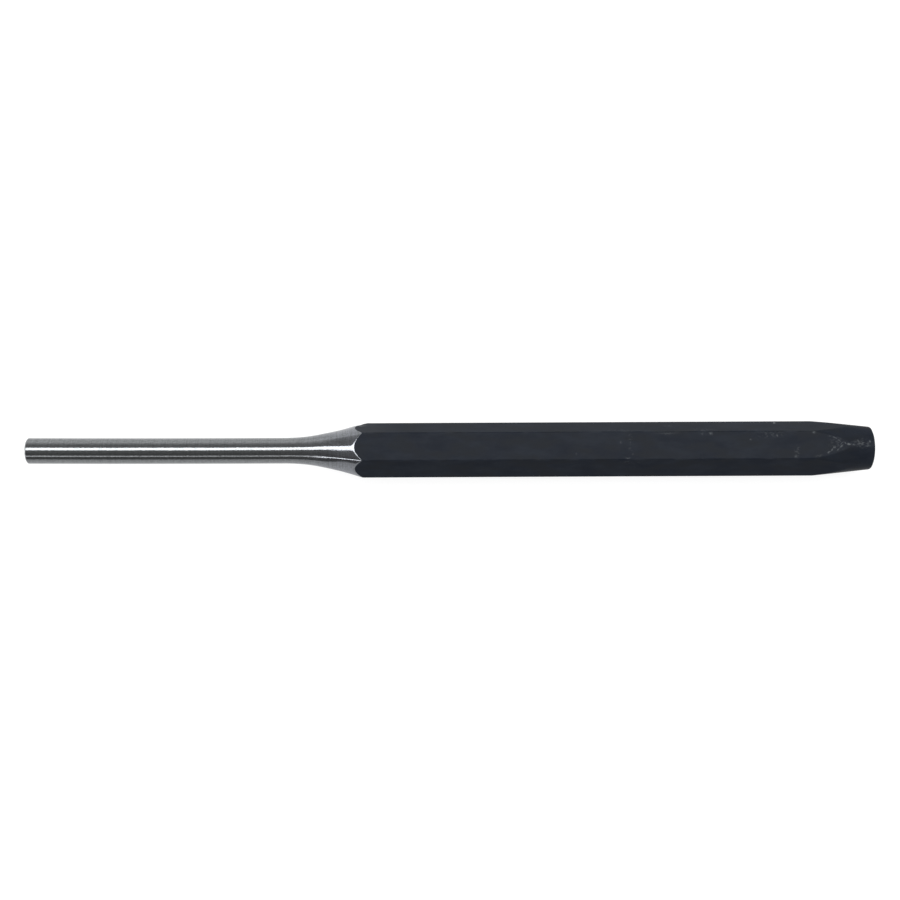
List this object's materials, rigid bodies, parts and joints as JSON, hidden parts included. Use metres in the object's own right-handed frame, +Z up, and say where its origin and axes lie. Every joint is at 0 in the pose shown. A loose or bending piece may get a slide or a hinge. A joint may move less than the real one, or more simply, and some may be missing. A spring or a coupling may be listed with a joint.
{
  "type": "pin punch",
  "caption": "Long pin punch: a ground round pin flares into a black hexagon body that tapers to a round struck head.",
  "frame": {"origin": "middle of the tip's flat face, on the punch's axis", "axes": "+X along the axis from the tip to the struck head; +Z up, square to the body flat that the punch lies on"},
  "size_m": [0.1662, 0.0108, 0.0094],
  "materials": {
    "tool_steel": "satin blue-black oxide on the hexagon body and the struck head, bright ground steel on the pin and its flare"
  },
  "bodies": {
    "root": {"pin_punch": "tool_steel"}
  },
  "joints": []
}
